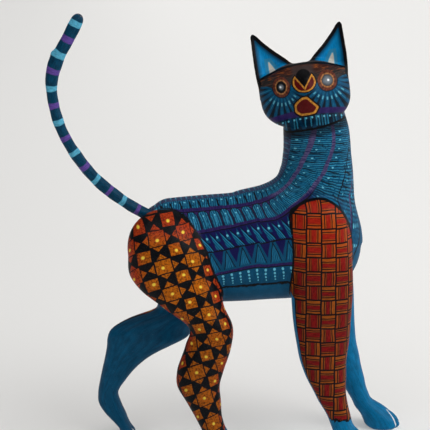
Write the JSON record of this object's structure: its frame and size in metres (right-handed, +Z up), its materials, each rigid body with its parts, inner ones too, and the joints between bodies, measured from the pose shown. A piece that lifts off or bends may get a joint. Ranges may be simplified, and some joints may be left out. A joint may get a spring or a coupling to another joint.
{
  "type": "wooden cat figurine",
  "caption": "Carved and painted wooden folk cat, standing with its head turned to the side, with a curved stick tail plugged into the rump.",
  "frame": {"origin": "on the ground, under the middle of the figure's box", "axes": "+Z up from the soles to the tip of the tail, +X the way the cat walks, -Y the way its face looks"},
  "size_m": [0.2528, 0.081, 0.305],
  "materials": {
    "painted_body": "varnished paint",
    "painted_tail": "varnished paint"
  },
  "bodies": {
    "root": {"cat_body": "painted_body", "tail": "painted_tail"}
  },
  "joints": []
}
